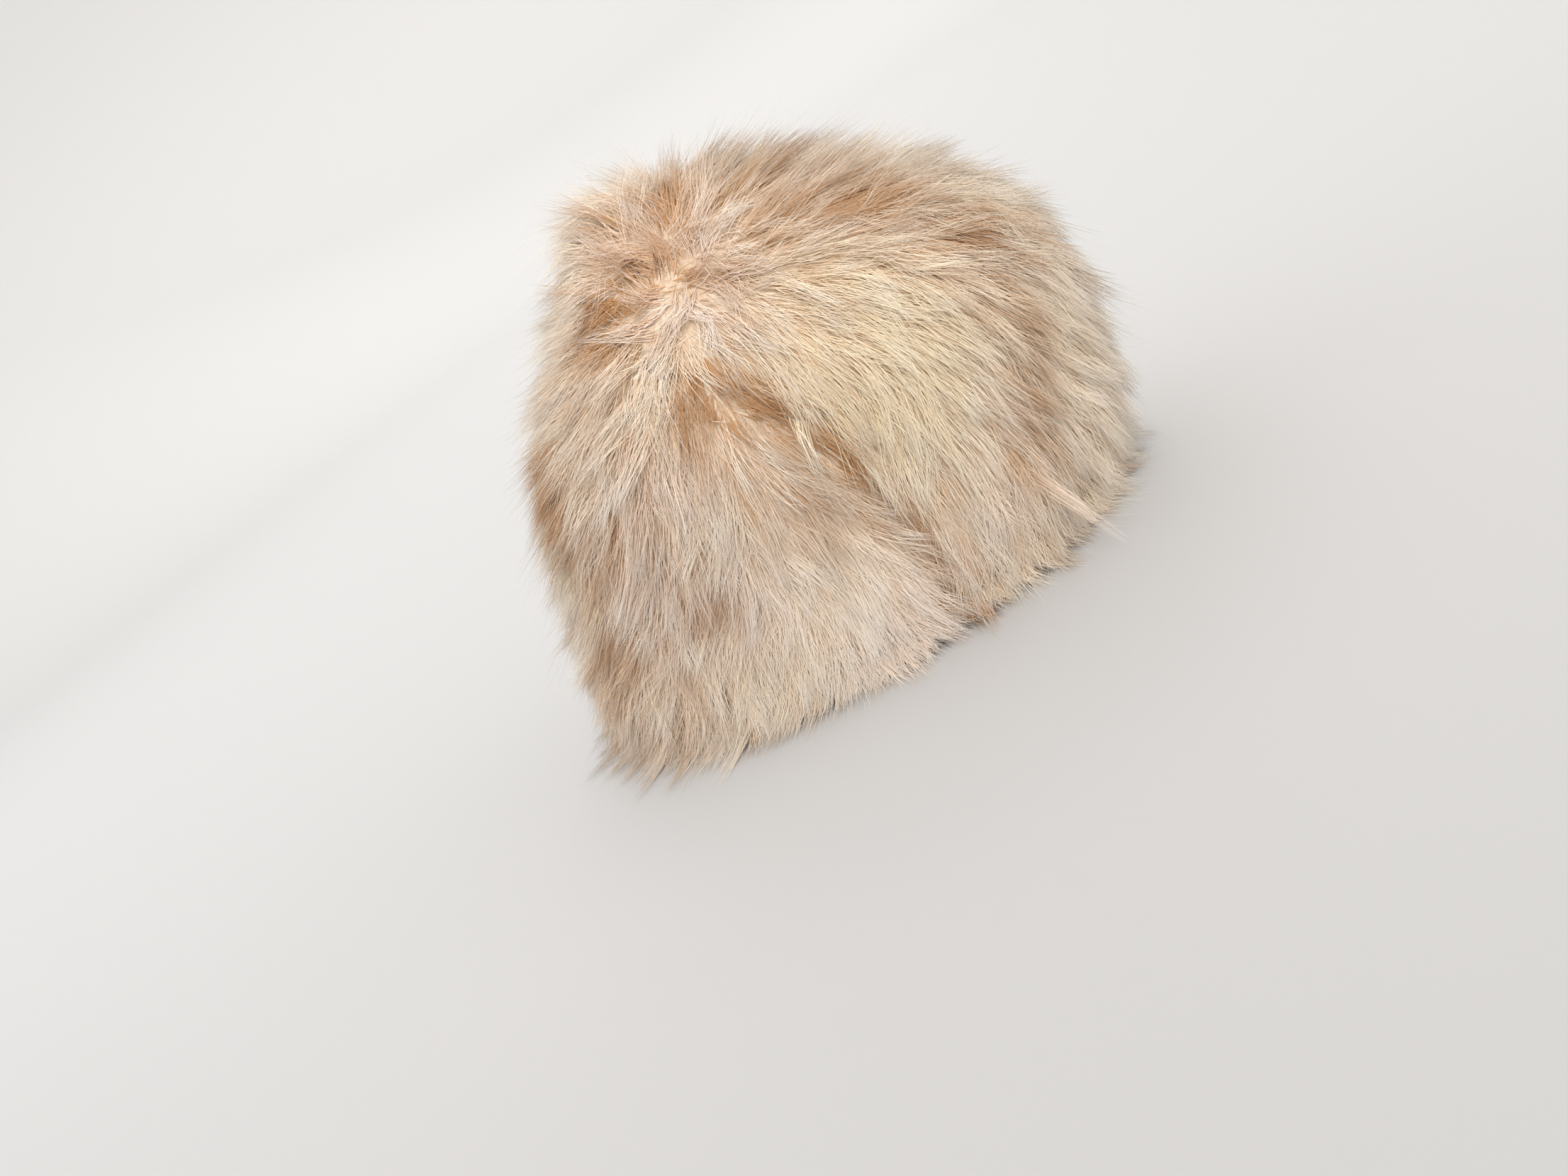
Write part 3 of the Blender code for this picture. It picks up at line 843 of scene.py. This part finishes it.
def grow(pelt, kind, finish, seed):
    """One kind of hair on one pelt, as a few pieces of many hairs each."""
    made = KINDS[kind]
    dice = np.random.default_rng(seed)
    points, normals, depths = lock_roots(mats[pelt], made.spacing, dice)
    at = landmarks(points)
    locks = len(points)
    lengths = made.length * dice.uniform(*LOCK_LENGTHS, locks)
    lengths *= (1 - WHORL_SHORTER * at["whorl"]) * (1 - PANEL_EDGE_SHORTER * at["panel_edge"])
    drop = np.maximum(-hair_way(points, normals)[:, 2], RIM_DROP)
    hang = RIM_HANG * dice.random(locks) ** 2
    lengths = np.minimum(lengths, np.maximum((points[:, 2] + hang) / drop, SHORTEST))
    turns = dice.normal(0.0, 1.0, locks)
    turns *= TURN_ANYWHERE + TURN_AT_WHORL * at["whorl"] + TURN_AT_PARTING * at["parting"]
    turns += waves(points, *TURN_WAVES) + waves(points, *TURN_RIPPLES)
    turns += WHORL_SPIRAL * at["whorl"] * np.sign(points[:, 1])
    path, outs, ways, piles = comb(points, normals, depths, lengths, turns)
    brown, pink = coat_tones(points, dice)
    stand = made.height * (dice.uniform(*LOCK_STANDS, locks) + waves(points, *STAND_WAVES))
    prouder = 1 + CREST_STAND * at["crest"] + PARTING_STAND * at["parting"]
    stand *= (1 - CREASE_LOWER * at["crease"]) * prouder
    curl = dice.uniform(*LOCK_CURLS, locks)
    proud = made.most_proud * dice.random(locks) ** 2

    lock = np.repeat(np.arange(locks), made.per_lock)
    hairs = len(lock)
    radius = made.reach * np.sqrt(dice.random(hairs))
    angle = dice.uniform(0.0, 2 * math.pi, hairs)
    beside, ahead = radius * np.sin(angle), radius * np.cos(angle)
    short = dice.uniform(*HAIR_LENGTHS, hairs)
    lift = stand[lock] * dice.normal(1.0, HAIR_STANDS, hairs)
    sway = dice.normal(0.0, made.stray, hairs)
    centres, shades = [], []
    for share in HAIR_STEPS:
        reached = share * short
        base, out = along(path[lock], reached), unit(along(outs[lock], reached))
        way, pile = along(ways[lock], reached), along(piles[lock], reached)
        side = np.cross(out, way)
        spread = 1 - made.clump * share
        rise = pile * (1 - MAT_SHARE) * lift * share ** curl[lock] + proud[lock] * share**2
        point = base + side * (beside * spread + sway * share**1.5)[:, None]
        point += way * (ahead * spread)[:, None] + out * (rise - ROOT_SUNK)[:, None]
        centres.append(point)
        shades.append(out)
    shades = np.stack(shades, 1)
    centres = settled(np.stack(centres, 1), shades)
    widths = made.width * dice.uniform(*HAIR_WIDTHS, hairs)
    browns = brown[lock] - made.paler + dice.normal(0.0, HAIR_BROWNS, hairs)
    pinks = pink[lock] + dice.normal(0.0, HAIR_PINKS, hairs)

    rank = np.empty(locks)
    rank[np.argsort(points[:, 0])] = np.arange(locks)
    pieces = math.ceil(hairs / HAIRS_PER_PIECE)
    for count in range(pieces):
        mine = (rank[lock] * pieces // locks) == count
        name = f"{pelt}_{kind}_{count + 1}"
        hairs_mesh(name, centres[mine], widths[mine], shades[mine], browns[mine], pinks[mine], finish)


fox_hair = hair_finish()
for turn, pelt in enumerate(PELTS):
    for step, kind in enumerate(KINDS):
        grow(pelt, kind, fox_hair, COAT_SEED + 10 * step + turn)

# The hair of the lowest row turns under the rim and is pressed flat between it and the
# table, so from below the rim is fur too. Some of it is rooted on the hem of the pelts.
RIM_SEED = 3
RIM_HAIRS = 4800
RIM_HAIR_LENGTH = 0.015
RIM_HAIR_LENGTHS = (0.6, 1.1)
RIM_HAIR_WIDTH = 0.00040
RIM_HAIR_SLOPE = 0.10
RIM_HAIR_SWERVE = 0.45
RIM_HAIR_LAYERS = 0.0004
RIM_HAIR_BROWN = 0.55
INNER_SHARE = 0.3
INNER_REACH = 0.005
HEM_HAIRS = 1100
HEM_STEP = (0.0028, 0.0028, 0.0)
HEM_LIFT = (0.0, 0.0, 0.0015)


def hem(pelt):
    """The cut lower edge of a pelt, as faces of four corners of which the last two are one."""
    skin = pelt_copy(pelt)
    cut = faces_down(skin, RIM_SKIN_HEIGHT)
    corners = [[vert.co.copy() for vert in (*face.verts, face.verts[2])] for face in cut]
    skin.free()
    return np.array(corners)


def strewn(quads, count, dice):
    """Places scattered evenly over faces of four corners."""
    sizes = np.linalg.norm(np.cross(quads[:, 2] - quads[:, 0], quads[:, 3] - quads[:, 1]), axis=1)
    quad = dice.choice(len(quads), count, p=sizes / sizes.sum())
    a, b = dice.random((2, count, 1))
    low_side = quads[quad, 0] * (1 - a) + quads[quad, 1] * a
    high_side = quads[quad, 3] * (1 - a) + quads[quad, 2] * a
    return low_side * (1 - b) + high_side * b


dice = np.random.default_rng(RIM_SEED)
under_mat = strewn(np.concatenate([mats[pelt]["rim"] for pelt in PELTS]), RIM_HAIRS - HEM_HAIRS, dice)
on_hem = strewn(np.concatenate([hem(pelt) for pelt in PELTS]), HEM_HAIRS, dice)
on_hem += unit((on_hem - np.array(HEART)) * (1, 1, 0)) * HEM_STEP + HEM_LIFT
roots = np.concatenate([under_mat, on_hem])
outward = unit((roots - np.array(HEART)) * (1, 1, 0))
inside = dice.random((RIM_HAIRS, 1)) * (dice.random((RIM_HAIRS, 1)) < INNER_SHARE)
inside[-HEM_HAIRS:] = 0.0
roots -= outward * INNER_REACH * inside
swerve = np.cross(outward, (0.0, 0.0, 1.0)) * dice.normal(0.0, RIM_HAIR_SWERVE, (RIM_HAIRS, 1))
ways = unit(outward + swerve - np.array((0.0, 0.0, RIM_HAIR_SLOPE)))
reach = RIM_HAIR_LENGTH * dice.uniform(*RIM_HAIR_LENGTHS, (RIM_HAIRS, 1))
centres = np.stack([roots + ways * reach * share for share in HAIR_STEPS], 1)
lowest = FLOOR_CLEARANCE + RIM_HAIR_LAYERS * dice.random((RIM_HAIRS, len(HAIR_STEPS)))
centres[:, :, 2] = np.maximum(centres[:, :, 2], lowest)
browns, pinks = coat_tones(roots, dice)
facing_down = np.broadcast_to(np.array((0.0, 0.0, -1.0)), centres.shape)
widths = RIM_HAIR_WIDTH * dice.uniform(*HAIR_WIDTHS, RIM_HAIRS)
hairs_mesh("rim_turned_hair", centres, widths, facing_down, browns * RIM_HAIR_BROWN, pinks, fox_hair)

# One pale lock has come loose from the brow on the right and hangs below the others. It
# is a wisp of fine hairs of uneven length, rooted in the front pelt like all the rest.
STRAY_SEED = 5
STRAY_ROOT = np.array((0.090, -0.070, 0.046))
STRAY_BEND = np.array((0.106, -0.090, 0.022))
STRAY_TIP = np.array((0.115, -0.099, 0.003))
STRAY_OUTWARD = np.array((0.6, -0.75, 0.2))
STRAY_HAIRS = 34
STRAY_WIDTH = 0.0026
STRAY_GATHER = 0.55
STRAY_HAIR_LENGTHS = (0.35, 1.0)
STRAY_HAIR_WIDTH = 0.00022
STRAY_BROWNS = (0.05, 0.35)
STRAY_PINKER = 0.6

dice = np.random.default_rng(STRAY_SEED)
share = np.array(HAIR_STEPS)[None, :, None]
bow = 2 * share * (1 - share)
reach = dice.uniform(*STRAY_HAIR_LENGTHS, STRAY_HAIRS)[:, None, None] * share
line = STRAY_ROOT * (1 - reach) + STRAY_TIP * reach
line = line + bow * (STRAY_BEND - (STRAY_ROOT + STRAY_TIP) / 2)
line = line + dice.normal(0.0, STRAY_WIDTH, (STRAY_HAIRS, 1, 3)) * (1 - STRAY_GATHER * share)
line[:, :, 2] = np.maximum(line[:, :, 2], FLOOR_CLEARANCE)
outward = unit(np.broadcast_to(STRAY_OUTWARD, line.shape))
widths = STRAY_HAIR_WIDTH * dice.uniform(*HAIR_WIDTHS, STRAY_HAIRS)
browns = dice.uniform(*STRAY_BROWNS, STRAY_HAIRS)
hairs_mesh("stray_lock", line, widths, outward, browns, browns + STRAY_PINKER, fox_hair)

# The seams. The pelts are whipped together edge to edge on the flesh side, which leaves a
# low ridge of skin with a waxed thread wound along it.
SEAM_RIDGE = 0.0011
THREAD_RADIUS = 0.00028
THREAD_PITCH = 0.0028
THREAD_TURN_POINTS = 6
THREAD_BITE = 0.6
THREAD_COLOUR = (0.55, 0.47, 0.36, 1.0)


def seam_lines(pelt):
    """The sewn edges of a pelt on its flesh side, each as a row of places."""
    wall = pelt_copy(pelt)
    others = []
    for face in wall.faces:
        out = (face.calc_center_median() - HEART).normalized()
        if face.normal.dot(out) > -FACING:
            others.append(face)
    bmesh.ops.delete(wall, geom=others, context="FACES")
    joined = {}
    for edge in wall.edges:
        if edge.is_boundary and max(vert.co.z for vert in edge.verts) > RIM_SKIN_HEIGHT:
            one, other = edge.verts
            joined.setdefault(one, []).append(other)
            joined.setdefault(other, []).append(one)
    lines = []
    while joined:
        start = min(joined, key=lambda vert: (len(joined[vert]), vert.co.x))
        line, here = [start.co.copy()], start
        while joined.get(here):
            after = joined[here].pop()
            joined[after].remove(here)
            if not joined[here]:
                del joined[here]
            line.append(after.co.copy())
            here = after
        joined.pop(here, None)
        joined.pop(start, None)
        lines.append(line)
    wall.free()
    return [line for line in lines if len(line) > 2]


def tube(name, lines, radius, finish):
    """One mesh of round tubes along some lines."""
    curve = bpy.data.curves.new(name, "CURVE")
    curve.dimensions = "3D"
    curve.bevel_depth = radius
    curve.bevel_resolution = 1
    curve.use_fill_caps = True
    for line in lines:
        spline = curve.splines.new("POLY")
        spline.points.add(len(line) - 1)
        for point, place in zip(spline.points, line):
            point.co = (*place, 1.0)
    bent = bpy.data.objects.new(name + "_curve", curve)
    mesh = bpy.data.meshes.new_from_object(bent)
    bpy.data.objects.remove(bent)
    bpy.data.curves.remove(curve)
    mesh.name = name
    mesh.shade_smooth()
    mesh.materials.clear()
    mesh.materials.append(finish)
    piece = bpy.data.objects.new(name, mesh)
    bpy.context.scene.collection.objects.link(piece)
    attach(piece, "root")


def wound(line):
    """The thread's way along a seam: round and round the ridge."""
    points = np.array([tuple(place) for place in line])
    steps = np.linalg.norm(points[1:] - points[:-1], axis=1)
    run = np.concatenate([[0.0], np.cumsum(steps)])
    at = np.arange(0.0, run[-1], THREAD_PITCH / THREAD_TURN_POINTS)
    middle = np.stack([np.interp(at, run, points[:, axis]) for axis in range(3)], 1)
    tangents = unit(np.gradient(middle, axis=0))
    inward = np.array(HEART) - middle
    inward = unit(inward - tangents * (inward * tangents).sum(1, keepdims=True))
    across = np.cross(tangents, inward)
    turn = (2 * math.pi * at / THREAD_PITCH)[:, None]
    outward = inward * np.cos(turn) + across * np.sin(turn)
    return middle + outward * (SEAM_RIDGE + THREAD_RADIUS * THREAD_BITE)


thread = bpy.data.materials.new("waxed_thread")
thread.use_nodes = True
nodes, links = thread.node_tree.nodes, thread.node_tree.links
surface = nodes["Principled BSDF"]
surface.inputs["Base Color"].default_value = THREAD_COLOUR
surface.inputs["Roughness"].default_value = 0.6
place = nodes.new("ShaderNodeTexCoord")
twist = nodes.new("ShaderNodeTexNoise")
twist.inputs["Scale"].default_value = 2500.0
relief = nodes.new("ShaderNodeBump")
relief.inputs["Strength"].default_value = 0.4
relief.inputs["Distance"].default_value = 0.0001
links.new(place.outputs["Object"], twist.inputs["Vector"])
links.new(twist.outputs["Fac"], relief.inputs["Height"])
links.new(relief.outputs["Normal"], surface.inputs["Normal"])
seams = [line for pelt in ("front_brim", "back_panel") for line in seam_lines(pelt)]
tube("seam_ridges", seams, SEAM_RIDGE, suede)
tube("seam_thread", [wound(line) for line in seams], THREAD_RADIUS, thread)
